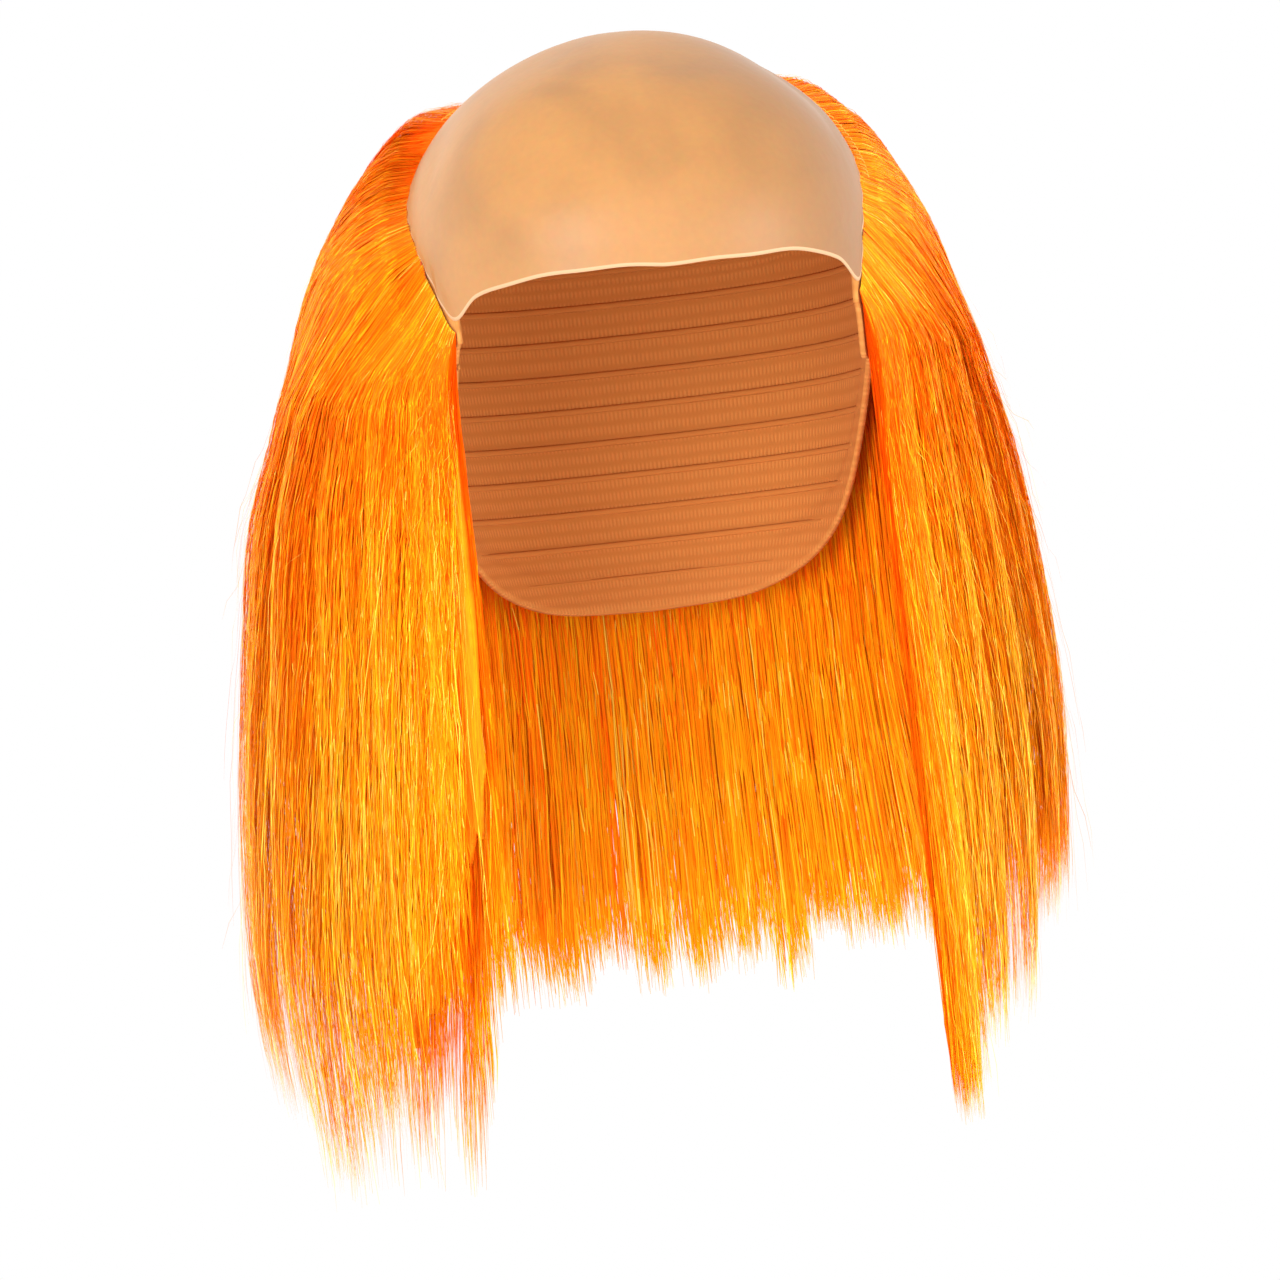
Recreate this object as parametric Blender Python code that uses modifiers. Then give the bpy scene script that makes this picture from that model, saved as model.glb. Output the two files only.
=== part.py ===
"""Bald clown wig: a latex bald cap stitched to a cloth cap that carries long straight hair.

Metres, +Z up. The origin is the crown, the point inside the latex cap that rests on the top
of the head. The face side looks along -Y, and +X is the wearer's left.
"""

import math

import bmesh
import bpy
from mathutils import Vector

# Head that the wig fits
HEAD_BREADTH = 0.154
HEAD_LENGTH = 0.196
CROWN_HEIGHT = 0.072  # from the crown down to the widest level of the head
NAPE_HEIGHT = 0.200  # from the widest level down to where the skull's curve would close
SQUARENESS = 2.4  # power of the head's outline from above: 2 is an ellipse

# Latex cap
LATEX_WALL = 0.0012
EDGE_DROP = 0.0915  # from the crown down to the cap's lowest corners, at the temples
DENT_DEPTH = 0.0022
CAP_RINGS = 12

# Cloth cap under the hair
CLOTH_WALL = 0.0015
CLOTH_DROP = 0.190  # from the crown down to its edge at the nape
CLOTH_OVERLAP = 0.008  # how far it reaches under the latex
CLOTH_ROWS = 5

# Hair
HAIR_DROP = 0.362  # from the crown down to the longest tips
HAIR_DEPTH = 0.079  # how far the hair stands out from the head where it is fullest
HANG_DROP = 0.107  # below here the hair has left the head and hangs
ROOT_THICKNESS = 0.006
TIP_THICKNESS = 0.004
RISE_POWER = 1.2  # how late the hair rises from its roots: 1 is a straight rise
LOCK_RELIEF = 0.0034
LOCK_NOTCH = 0.022
FRONT_ANGLE = 49.0  # degrees round from the face to the hair's front edge, where it hangs
UNDER_HAIR_SHARE = 0.5  # share of the hair's thickness that the under rows fill
UNDER_HAIR_START = 0.5  # where the under rows begin, as a share of the way from seam to hang
UNDER_HAIR_LENGTH = 0.93  # share of the outer hair's length
TAPER_START = 0.4  # share of the hanging length where the hair starts to thin

# Clearances
TOUCH_GAP = 0.0003
CLOTH_GAP = 0.0005
SEAM_GAP = 0.0014
LAYER_GAP = 0.0008

# Mesh density
STATION_STEPS = 2  # columns of latex and cloth for each station
LOCKS_PER_STATION = 2
LOCK_COLUMNS = 4
UNDER_LOCK_COLUMNS = 2
UPPER_ROWS = 5
LOWER_ROWS = 5

# The cap's outline, from the middle of the forehead round to the middle of the back.
# Azimuth is in degrees from the face, on the wearer's right and left. Drops are shares of
# EDGE_DROP for the latex edge and of CLOTH_DROP for the cloth's lower edge.
STATIONS = [
    # right_azimuth, left_azimuth, latex_drop, cloth_drop
    (0.0, 0.0, 0.912, 0.60),
    (15.0, 15.0, 0.903, 0.60),
    (28.0, 28.0, 0.905, 0.60),
    (38.5, 38.5, 0.937, 0.62),
    (47.0, 47.0, 1.000, 0.52),
    (54.5, 51.0, 0.842, 0.61),
    (64.0, 57.0, 0.678, 0.60),
    (79.0, 68.0, 0.525, 0.57),
    (92.0, 83.0, 0.345, 0.59),
    (102.0, 99.0, 0.225, 0.70),
    (122.0, 121.0, 0.162, 0.88),
    (150.0, 150.0, 0.137, 0.98),
    (180.0, 180.0, 0.126, 1.00),
]
TEMPLE_STATION = 4
BACK_STATION = len(STATIONS) - 1

# The hair at each station from the temple back. Fullness is a share of HAIR_DEPTH, and the
# tips' levels on the wearer's right and left are shares of HAIR_DROP.
HAIR_STATIONS = [
    # fullness, right_tip, left_tip
    (0.13, 0.80, 1.00),
    (0.52, 1.00, 0.92),
    (0.92, 0.92, 0.84),
    (1.00, 0.87, 0.84),
    (0.88, 0.86, 0.85),
    (0.70, 0.87, 0.86),
    (0.52, 0.88, 0.88),
    (0.40, 0.89, 0.89),
    (0.37, 0.89, 0.89),
]

# How full the hair is as it falls: the drop is a share of HAIR_DROP, and the fullness on the
# wearer's right and left multiplies the one above.
HAIR_LEVELS = [
    # drop, right_side, left_side
    (0.295, 0.58, 0.445),
    (0.41, 0.76, 0.550),
    (0.55, 0.86, 0.620),
    (0.69, 0.94, 0.645),
    (0.83, 1.00, 0.600),
    (1.00, 0.93, 0.480),
]

# Each lock in turn ends a little above or below the tips' level: shares of LOCK_NOTCH.
LOCK_ENDS = [0.0, 0.54, 0.18, 0.66, 0.12, 0.36, 0.78, 0.06, 0.48, 0.24, 0.72]

# Shallow dents in the latex. Azimuth in degrees, reach as a share of CROWN_HEIGHT down from
# the crown, spread as a share of HEAD_BREADTH, depth as a share of DENT_DEPTH.
DENTS = [
    # azimuth, reach, spread, depth
    (-42.0, 0.16, 0.17, 1.0),
    (-66.0, 0.55, 0.13, 0.7),
    (20.0, 0.22, 0.16, 0.8),
    (62.0, 0.30, 0.15, 1.0),
    (70.0, 0.70, 0.12, 0.6),
    (-20.0, 0.62, 0.20, 0.5),
    (30.0, 0.75, 0.18, 0.4),
    (150.0, 0.08, 0.14, 0.6),
]
CROWN_CALM = 0.25  # radians round the crown that the dents leave smooth
EDGE_CALM = 0.3  # radians over which they fade out towards the cap's edge

COLOURS = {
    # name: (red, green, blue, roughness)
    "latex": (0.86, 0.50, 0.25, 0.45),
    "cloth": (0.70, 0.33, 0.08, 0.90),
    "hair": (1.00, 0.27, 0.01, 0.45),
    "under_hair": (0.88, 0.17, 0.01, 0.50),
}


# General helpers
def clear_scene():
    for obj in list(bpy.data.objects):
        bpy.data.objects.remove(obj)


def mix(start, end, share):
    return start + (end - start) * share


def smooth(share):
    share = max(0.0, min(1.0, share))
    return share * share * (3 - 2 * share)


def along(rows, column, position):
    """One column of a table, read as a smooth curve at a position counted in rows."""
    position = max(0.0, min(len(rows) - 1.0, position))
    row = min(int(position), len(rows) - 2)
    share = position - row
    before, here, after, beyond = (
        rows[max(0, min(len(rows) - 1, row + step))][column] for step in (-1, 0, 1, 2)
    )
    slope_in, slope_out = (after - before) / 2, (beyond - here) / 2
    bend = 3 * (after - here) - 2 * slope_in - slope_out
    curl = slope_in + slope_out - 2 * (after - here)
    return here + share * (slope_in + share * (bend + share * curl))


# The head's form
def polar_at(drop):
    """Angle down from the crown, seen from the middle of the widest level."""
    if drop <= CROWN_HEIGHT:
        return math.acos(1 - drop / CROWN_HEIGHT)
    return math.pi / 2 + math.asin((drop - CROWN_HEIGHT) / NAPE_HEIGHT)


def head_radius(azimuth):
    """Distance from the head's axis to its widest outline, seen from above."""
    side = abs(math.sin(azimuth)) / (HEAD_BREADTH / 2)
    ahead = abs(math.cos(azimuth)) / (HEAD_LENGTH / 2)
    return (side**SQUARENESS + ahead**SQUARENESS) ** (-1 / SQUARENESS)


def head_point(azimuth, polar, outset=0.0):
    """A point on the head, moved outwards at right angles to its surface."""
    radius = head_radius(azimuth)
    height = CROWN_HEIGHT if polar <= math.pi / 2 else NAPE_HEIGHT
    normal = Vector((math.sin(polar) / radius, math.cos(polar) / height)).normalized()
    reach = radius * math.sin(polar) + outset * normal.x
    rise = height * math.cos(polar) - CROWN_HEIGHT + outset * normal.y
    return Vector((reach * math.sin(azimuth), -reach * math.cos(azimuth), rise))


def side_of(station):
    """Column of a right and left pair. Stations on the wearer's right are negative."""
    return 0 if station < 0 else 1


def station_azimuth(station):
    degrees = along(STATIONS, side_of(station), abs(station))
    return math.copysign(math.radians(degrees), station)


def seam_polar(station):
    return polar_at(EDGE_DROP * along(STATIONS, 2, abs(station)))


def cloth_edge_drop(station):
    return CLOTH_DROP * along(STATIONS, 3, abs(station))


def head_angle(length):
    """A short length along the head as an angle."""
    return length / (HEAD_BREADTH / 2)


# Mesh makers
def add_object(name, mesh, colour, collection):
    """Turn a bmesh into an object with a material of its own."""
    bmesh.ops.recalc_face_normals(mesh, faces=mesh.faces)
    data = bpy.data.meshes.new(name)
    mesh.to_mesh(data)
    mesh.free()
    data.shade_smooth()
    red, green, blue, roughness = COLOURS[colour]
    material = bpy.data.materials.new(colour)
    material.use_nodes = True
    material.diffuse_color = (red, green, blue, 1)
    surface = material.node_tree.nodes["Principled BSDF"]
    surface.inputs["Base Color"].default_value = (red, green, blue, 1)
    surface.inputs["Roughness"].default_value = roughness
    surface.inputs["Metallic"].default_value = 0.0
    data.materials.append(material)
    obj = bpy.data.objects.new(name, data)
    collection.objects.link(obj)
    return obj


def slab(name, columns, colour, collection):
    """One closed body between two sheets of points: each column is (outside, inside)."""
    mesh = bmesh.new()
    outer = [[mesh.verts.new(point) for point in outside] for outside, _ in columns]
    inner = [[mesh.verts.new(point) for point in inside] for _, inside in columns]
    last_column, last_row = len(outer) - 1, len(outer[0]) - 1
    for sheet in (outer, inner):
        for left, right in zip(sheet, sheet[1:]):
            for row in range(last_row):
                mesh.faces.new((left[row], left[row + 1], right[row + 1], right[row]))
    rim = [(column, 0) for column in range(last_column)]
    rim += [(last_column, row) for row in range(last_row)]
    rim += [(column, last_row) for column in range(last_column, 0, -1)]
    rim += [(0, row) for row in range(last_row, 0, -1)]
    for (column, row), (column_2, row_2) in zip(rim, rim[1:] + rim[:1]):
        near, far = outer[column][row], outer[column_2][row_2]
        mesh.faces.new((near, far, inner[column_2][row_2], inner[column][row]))
    return add_object(name, mesh, colour, collection)


def temple_to_temple(steps):
    """Signed stations from the wearer's right temple, round the back, to the left one."""
    count = (BACK_STATION - TEMPLE_STATION) * steps
    half = [TEMPLE_STATION + step / steps for step in range(count + 1)]
    return [-station for station in half] + half[-2::-1]


# Latex cap
def dent_depth(azimuth, polar, edge):
    """How far the latex sinks at a point, from the table of dents."""
    here = head_point(azimuth, polar)
    depth = 0.0
    for dent_azimuth, reach, spread, share in DENTS:
        centre = head_point(math.radians(dent_azimuth), polar_at(reach * CROWN_HEIGHT))
        away = (here - centre).length / (spread * HEAD_BREADTH)
        depth += share * DENT_DEPTH * math.exp(-away * away)
    calm = smooth(polar / CROWN_CALM)
    calm *= smooth((edge - polar - 1.5 * head_angle(CLOTH_OVERLAP)) / EDGE_CALM)
    return depth * calm


def cap_point(station, share):
    """Inside surface of the latex: share runs from the crown to the cap's edge."""
    azimuth = station_azimuth(station)
    edge = seam_polar(station)
    polar = share * edge
    return head_point(azimuth, polar, -dent_depth(azimuth, polar, edge))


def make_bald_cap(collection):
    """The upper half of a sphere, laid over the head and ended along the cap's outline."""
    mesh = bmesh.new()
    around = 2 * BACK_STATION * STATION_STEPS
    bmesh.ops.create_uvsphere(mesh, u_segments=around, v_segments=2 * CAP_RINGS, radius=1)
    below = [vert for vert in mesh.verts if vert.co.z < -0.5 / CAP_RINGS]
    bmesh.ops.delete(mesh, geom=below, context="VERTS")
    for vert in mesh.verts:
        turn = math.atan2(vert.co.x, -vert.co.y) / math.pi
        share = math.acos(max(-1.0, min(1.0, vert.co.z))) / (math.pi / 2)
        vert.co = cap_point(turn * BACK_STATION, share)
    cap = add_object("bald_cap", mesh, "latex", collection)
    wall = cap.modifiers.new("wall", "SOLIDIFY")
    wall.thickness = LATEX_WALL
    wall.offset = 1


# Cloth cap
def cloth_column(station):
    azimuth = station_azimuth(station)
    top = seam_polar(station) - head_angle(CLOTH_OVERLAP)
    bottom = polar_at(cloth_edge_drop(station))
    polars = [mix(top, bottom, row / CLOTH_ROWS) for row in range(CLOTH_ROWS + 1)]
    return [
        [head_point(azimuth, polar, -CLOTH_GAP - depth) for polar in polars]
        for depth in (0, CLOTH_WALL)
    ]


def make_cloth_cap(collection):
    columns = [cloth_column(station) for station in temple_to_temple(STATION_STEPS)]
    slab("cloth_cap", columns, "cloth", collection)


# Hair
def round_share(station):
    """Share of the way round the hair, from a temple to the middle of the back."""
    return (abs(station) - TEMPLE_STATION) / (BACK_STATION - TEMPLE_STATION)


def hang_azimuth(station):
    """Where a strand hangs: it fans out evenly below the seam."""
    angle = mix(math.radians(FRONT_ANGLE), math.pi, round_share(station))
    return math.copysign(angle, station)


def outward(station):
    azimuth = hang_azimuth(station)
    return Vector((math.sin(azimuth), -math.cos(azimuth), 0))


def level_fullness(station, drop):
    """The right and left sides have their own fullness, and meet at the back."""
    position = 0.0
    for row, (start, end) in enumerate(zip(HAIR_LEVELS, HAIR_LEVELS[1:])):
        share = (drop / HAIR_DROP - start[0]) / (end[0] - start[0])
        if share > 0:
            position = row + min(share, 1.0)
    right, left = (along(HAIR_LEVELS, column, position) for column in (1, 2))
    return (right + left) / 2 + (left - right) / 2 * math.sin(hang_azimuth(station))


def full_depth(station, drop):
    """From the inside of the hair to its outside."""
    share = along(HAIR_STATIONS, 0, abs(station) - TEMPLE_STATION)
    return HAIR_DEPTH * share * level_fullness(station, drop)


def hair_on_head(station, share, depth):
    """Hair lying on the head: share runs from the seam to the level where it hangs."""
    start = seam_polar(station) + head_angle(SEAM_GAP)
    polar = mix(start, polar_at(HANG_DROP), share)
    azimuth = mix(station_azimuth(station), hang_azimuth(station), smooth(share))
    return head_point(azimuth, polar, TOUCH_GAP + depth)


def hair_hanging(station, drop, depth):
    """Hair below the head: its inside falls straight down from where it leaves the head."""
    inside = head_radius(hang_azimuth(station)) * math.sin(polar_at(HANG_DROP))
    return outward(station) * (inside + LAYER_GAP + depth) - Vector((0, 0, drop))


def lock_place(station):
    """Which lock a station is in, and how far it is from the lock's middle, 0 to 1."""
    count = (abs(station) - TEMPLE_STATION) * LOCKS_PER_STATION
    lock = int(count)
    return lock, abs(2 * (count - lock) - 1)


def tip_drop(station):
    """Where the hair ends: each lock has its own length, and is longest in its middle."""
    lock, off_middle = lock_place(station)
    level = along(HAIR_STATIONS, 1 + side_of(station), abs(station) - TEMPLE_STATION)
    turn = lock + side_of(station) * len(LOCK_ENDS) // 2
    notch = mix(LOCK_ENDS[turn % len(LOCK_ENDS)], 1.0, off_middle**2)
    return HAIR_DROP * level - LOCK_NOTCH * notch


def thinned(depth, share):
    """Thickness of a layer on its way down to the tips."""
    tip = min(depth, TIP_THICKNESS)
    return mix(depth, tip, smooth((share - TAPER_START) / (1 - TAPER_START)))


def hang_drops(end):
    return [(row / LOWER_ROWS, mix(HANG_DROP, end, row / LOWER_ROWS))
            for row in range(1, LOWER_ROWS + 1)]


def under_depth(station, share):
    """Thickness of the under rows on the head, which begin part of the way down."""
    below = max(0.0, (share - UNDER_HAIR_START) / (1 - UNDER_HAIR_START))
    full = UNDER_HAIR_SHARE * full_depth(station, HANG_DROP)
    return mix(min(full, TIP_THICKNESS / 2), full, below)


def outer_hair_column(station):
    """Outside and inside points of the outer hair along one strand."""
    _, off_middle = lock_place(station)
    groove = LOCK_RELIEF * off_middle**2
    outside, inside = [], []
    for row in range(UPPER_ROWS + 1):
        share = row / UPPER_ROWS
        full = mix(ROOT_THICKNESS, full_depth(station, HANG_DROP), share**RISE_POWER)
        lift = smooth(share / UNDER_HAIR_START)
        under = (under_depth(station, share) + LAYER_GAP) * lift
        layer = max(full - under, TIP_THICKNESS / 2)
        cut = min(groove, layer / 2) * share
        outside.append(hair_on_head(station, share, under + layer - cut))
        inside.append(hair_on_head(station, share, under))
    for share, drop in hang_drops(tip_drop(station)):
        full = full_depth(station, drop)
        layer = max(full * (1 - UNDER_HAIR_SHARE) - LAYER_GAP, TIP_THICKNESS / 2)
        kept = thinned(layer, share)
        outside.append(hair_hanging(station, drop, full - min(groove, kept / 2)))
        inside.append(hair_hanging(station, drop, full - kept))
    return outside, inside


def under_hair_column(station):
    """The same for the under rows, which fill the inner share of the hair's thickness."""
    outside, inside = [], []
    for row in range(round(UPPER_ROWS * UNDER_HAIR_START), UPPER_ROWS + 1):
        share = row / UPPER_ROWS
        outside.append(hair_on_head(station, share, under_depth(station, share)))
        inside.append(hair_on_head(station, share, LAYER_GAP))
    for share, drop in hang_drops(tip_drop(station) * UNDER_HAIR_LENGTH):
        layer = full_depth(station, drop) * UNDER_HAIR_SHARE
        outside.append(hair_hanging(station, drop, layer))
        inside.append(hair_hanging(station, drop, layer - thinned(layer, share)))
    return outside, inside


def make_hair(name, colour, column, lock_columns, collection):
    stations = temple_to_temple(LOCKS_PER_STATION * lock_columns)
    slab(name, [column(station) for station in stations], colour, collection)


def main():
    clear_scene()
    collection = bpy.data.collections.new("bald_clown_wig")
    bpy.context.scene.collection.children.link(collection)
    make_bald_cap(collection)
    make_cloth_cap(collection)
    make_hair("outer_hair", "hair", outer_hair_column, LOCK_COLUMNS, collection)
    make_hair("under_hair", "under_hair", under_hair_column, UNDER_LOCK_COLUMNS, collection)


main()
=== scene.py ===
# %% [markdown]
# # A bald clown wig
#
# The wig is a thin latex cap over the top of the head, sewn to a cloth cap that carries long
# straight orange hair round the sides and the back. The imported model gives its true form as
# plain solids. Each cell below dresses one of them: a fine latex skin with soft dents, a knitted
# cap with its rows of weft, and hair made of many thousands of separate strands.

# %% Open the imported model
import math

import bpy
import numpy as np
from mathutils import Matrix, Vector


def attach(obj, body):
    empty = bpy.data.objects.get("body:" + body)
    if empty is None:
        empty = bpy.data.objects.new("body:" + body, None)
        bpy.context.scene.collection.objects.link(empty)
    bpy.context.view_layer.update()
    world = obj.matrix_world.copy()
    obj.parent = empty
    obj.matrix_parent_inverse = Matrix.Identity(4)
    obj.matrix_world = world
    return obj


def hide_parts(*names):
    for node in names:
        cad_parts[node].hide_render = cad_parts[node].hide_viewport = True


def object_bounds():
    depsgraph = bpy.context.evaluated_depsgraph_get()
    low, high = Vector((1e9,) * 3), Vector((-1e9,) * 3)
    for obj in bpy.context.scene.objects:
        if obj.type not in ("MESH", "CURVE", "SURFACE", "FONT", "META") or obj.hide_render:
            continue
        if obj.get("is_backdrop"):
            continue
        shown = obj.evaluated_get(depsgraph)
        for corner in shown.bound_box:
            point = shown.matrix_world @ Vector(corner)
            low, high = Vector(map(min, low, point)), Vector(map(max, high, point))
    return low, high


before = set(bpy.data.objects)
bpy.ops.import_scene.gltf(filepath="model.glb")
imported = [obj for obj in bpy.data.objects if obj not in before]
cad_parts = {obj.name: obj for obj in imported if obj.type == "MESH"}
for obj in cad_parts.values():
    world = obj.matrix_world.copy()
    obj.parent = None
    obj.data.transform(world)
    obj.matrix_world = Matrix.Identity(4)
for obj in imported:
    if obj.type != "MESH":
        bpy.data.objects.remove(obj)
scene = bpy.context.scene
solid_low, solid_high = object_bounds()
print("solids:", ", ".join(sorted(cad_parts)))
print("box in mm:", [round(1000 * size) for size in solid_high - solid_low])

# %% [markdown]
# ## The head's form
#
# A wig has no form of its own: it takes the head's. The head could be drawn as a mesh, but a
# formula is easier to ask where a strand or a seam lies. Seen from above it is a rounded
# ellipse, and from the side it is a low dome over a long lower part. All sizes are in metres,
# and the origin is the crown inside the cap.

# %% Head sizes and the point on the head at any angle
HEAD_BREADTH = 0.154
HEAD_LENGTH = 0.196
CROWN_HEIGHT = 0.072
NAPE_HEIGHT = 0.200
SQUARENESS = 2.4


def mix(start, end, share):
    return start + (end - start) * share


def smooth(share):
    share = np.clip(share, 0.0, 1.0)
    return share * share * (3 - 2 * share)


def polar_at(drop):
    """Angle down from the crown for a level that lies a drop below it."""
    drop = np.asarray(drop, float)
    above = np.arccos(np.clip(1 - drop / CROWN_HEIGHT, -1, 1))
    below = math.pi / 2 + np.arcsin(np.clip((drop - CROWN_HEIGHT) / NAPE_HEIGHT, 0, 1))
    return np.where(drop <= CROWN_HEIGHT, above, below)


def head_radius(azimuth):
    side = np.abs(np.sin(azimuth)) / (HEAD_BREADTH / 2)
    ahead = np.abs(np.cos(azimuth)) / (HEAD_LENGTH / 2)
    return (side**SQUARENESS + ahead**SQUARENESS) ** (-1 / SQUARENESS)


def head_point(azimuth, polar, outset=0.0):
    """Points on the head, moved outwards at right angles to its surface."""
    radius = head_radius(azimuth)
    height = np.where(polar <= math.pi / 2, CROWN_HEIGHT, NAPE_HEIGHT)
    across, up = np.sin(polar) / radius, np.cos(polar) / height
    length = np.hypot(across, up)
    reach = radius * np.sin(polar) + outset * across / length
    rise = height * np.cos(polar) - CROWN_HEIGHT + outset * up / length
    return np.stack([reach * np.sin(azimuth), -reach * np.cos(azimuth), rise], axis=-1)


def head_angle(length):
    return length / (HEAD_BREADTH / 2)


print("head at its widest, in mm:", 1000 * head_point(math.pi / 2, math.pi / 2).round(4))

# %% [markdown]
# ## The wig's outline
#
# Stations mark the way round the wig, from 0 at the middle of the forehead to 12 at the middle
# of the back. A station below zero is on the wig's own right. Each row says where the latex and
# the cloth end there, and a smooth curve is read through the rows. The seam isn't quite the
# same on both sides, because a wig in use sits a little askew.

# %% Stations, the seam and the cloth's edge
EDGE_DROP = 0.0915
CLOTH_DROP = 0.190
STATIONS = [
    # right_azimuth, left_azimuth, latex_drop, cloth_drop
    (0.0, 0.0, 0.912, 0.60),
    (15.0, 15.0, 0.903, 0.60),
    (28.0, 28.0, 0.905, 0.60),
    (38.5, 38.5, 0.937, 0.62),
    (47.0, 47.0, 1.000, 0.52),
    (54.5, 51.0, 0.842, 0.61),
    (64.0, 57.0, 0.678, 0.60),
    (79.0, 68.0, 0.525, 0.57),
    (92.0, 83.0, 0.345, 0.59),
    (102.0, 99.0, 0.225, 0.70),
    (122.0, 121.0, 0.162, 0.88),
    (150.0, 150.0, 0.137, 0.98),
    (180.0, 180.0, 0.126, 1.00),
]
TEMPLE, BACK = 4, 12


def along(rows, column, position):
    """One column of a table, read as a smooth curve at positions counted in rows."""
    values, last = np.array([row[column] for row in rows]), len(rows) - 1
    position = np.clip(position, 0.0, last)
    row = np.minimum(position.astype(int), last - 1)
    share = position - row
    before, here, after, beyond = (
        values[np.clip(row + step, 0, last)] for step in (-1, 0, 1, 2)
    )
    slope_in, slope_out = (after - before) / 2, (beyond - here) / 2
    bend = 3 * (after - here) - 2 * slope_in - slope_out
    curl = slope_in + slope_out - 2 * (after - here)
    return here + share * (slope_in + share * (bend + share * curl))


def on_side(station, right, left):
    return np.where(station < 0, right, left)


def station_azimuth(station):
    away = np.abs(station)
    degrees = on_side(station, along(STATIONS, 0, away), along(STATIONS, 1, away))
    return np.copysign(np.radians(degrees), station)


def seam_polar(station):
    return polar_at(EDGE_DROP * along(STATIONS, 2, np.abs(station)))


def cloth_edge_drop(station):
    return CLOTH_DROP * along(STATIONS, 3, np.abs(station))


temples = np.array([-TEMPLE, TEMPLE], float)
corners = head_point(station_azimuth(temples), seam_polar(temples))
print("temple corners in mm:", (1000 * corners).round().tolist())

# %% [markdown]
# ## Laying a skin between two sheets of points
#
# Latex, cloth and the backing of the hair are all thin walls. Each could be a single sheet with
# a Solidify modifier, but then its edge can't be thinned or turned up. So the outside and the
# inside are both worked out, point by point, and faces join them round the rim.

# %% Make a wall from an outer and an inner grid of points
def add_piece(name, points, faces, finishes):
    """A mesh object that rides with the wig. Finishes are its materials, in order."""
    mesh = bpy.data.meshes.new(name)
    mesh.from_pydata(np.asarray(points).reshape(-1, 3).tolist(), [], faces)
    mesh.validate()
    mesh.shade_smooth()
    for finish in finishes:
        mesh.materials.append(finish)
    piece = bpy.data.objects.new(name, mesh)
    scene.collection.objects.link(piece)
    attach(piece, "root")
    return piece


def sheet_faces(columns, rows, start, turned, closed):
    """Four-cornered faces between neighbouring columns of a grid."""
    faces = []
    for column in range(columns if closed else columns - 1):
        here, there = start + column * rows, start + (column + 1) % columns * rows
        for row in range(rows - 1):
            face = (here + row, here + row + 1, there + row + 1, there + row)
            faces.append(face[::-1] if turned else face)
    return faces


def wall_faces(columns, rows, closed=False):
    """Faces of the outer and the inner sheet, and of the rim that joins them."""
    inner = columns * rows
    faces = sheet_faces(columns, rows, 0, False, closed)
    faces += sheet_faces(columns, rows, inner, True, closed)
    rims = [[column * rows + rows - 1 for column in range(columns)]]
    if closed:
        rims[0].append(rims[0][0])
    else:
        top = [column * rows for column in range(columns)]
        left, right = list(range(rows)), [inner - rows + row for row in range(rows)]
        rims = [left + rims[0][1:] + right[-2::-1] + top[-2::-1]]
    for rim in rims:
        faces += [(a, inner + a, inner + b, b) for a, b in zip(rim, rim[1:])]
    return faces


def give_map(piece, around, down):
    """A UV map in metres, from each point's distance round and down its piece."""
    mesh = piece.data
    layer = mesh.uv_layers.new(name="metres")
    corner = np.empty(len(mesh.loops), int)
    mesh.loops.foreach_get("vertex_index", corner)
    places = np.stack([around.ravel()[corner], down.ravel()[corner]], axis=1)
    layer.data.foreach_set("uv", places.astype(np.float32).ravel())


print("a wall of 4 by 3 points has", len(wall_faces(4, 3)), "faces")

# %% [markdown]
# ## A bench for finishes
#
# Every finish is a node material on the Principled shader. A finish that is even all over could
# be one colour, but latex, cloth and hair never are. Small helpers add nodes, join them and mix
# colours, so each recipe below reads in the order in which it works.

# %% Start a finish, add nodes to it, read a colour ramp and mix two colours
def start_finish(name, colour, roughness):
    finish = bpy.data.materials.new(name)
    finish.use_nodes = True
    finish.diffuse_color = (*colour, 1)
    surface = finish.node_tree.nodes["Principled BSDF"]
    surface.inputs["Base Color"].default_value = (*colour, 1)
    surface.inputs["Roughness"].default_value = roughness
    return finish, surface


def add_node(finish, kind, links=(), **values):
    """A node with its plain numbers set and its inputs joined to other nodes' outputs."""
    node = finish.node_tree.nodes.new(kind)
    for name, value in values.items():
        socket = node.inputs.get(name.replace("_", " "))
        if socket is None:
            setattr(node, name, value)
        else:
            socket.default_value = value
    for source, target in links:
        finish.node_tree.links.new(source, node.inputs[target])
    return node


def colour_ramp(finish, source, stops):
    ramp = finish.node_tree.nodes.new("ShaderNodeValToRGB")
    elements = ramp.color_ramp.elements
    while len(elements) < len(stops):
        elements.new(0.5)
    for element, (place, colour) in zip(elements, stops):
        element.position = place
        element.color = (*colour, 1)
    finish.node_tree.links.new(source, ramp.inputs["Fac"])
    return ramp.outputs["Color"]


def join(finish, source, target):
    finish.node_tree.links.new(source, target)


def mix_colours(finish, under, over, factor, way="MIX"):
    """One colour laid over another. Over and factor are plain values or nodes' outputs."""
    node = add_node(finish, "ShaderNodeMix", [(under, "A")], data_type="RGBA", blend_type=way)
    for value, name in ((over, "B"), (factor, "Factor")):
        if isinstance(value, bpy.types.NodeSocket):
            join(finish, value, node.inputs[name])
        else:
            node.inputs[name].default_value = value
    return node.outputs["Result"]


print("helpers ready for", bpy.app.version_string)
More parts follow.
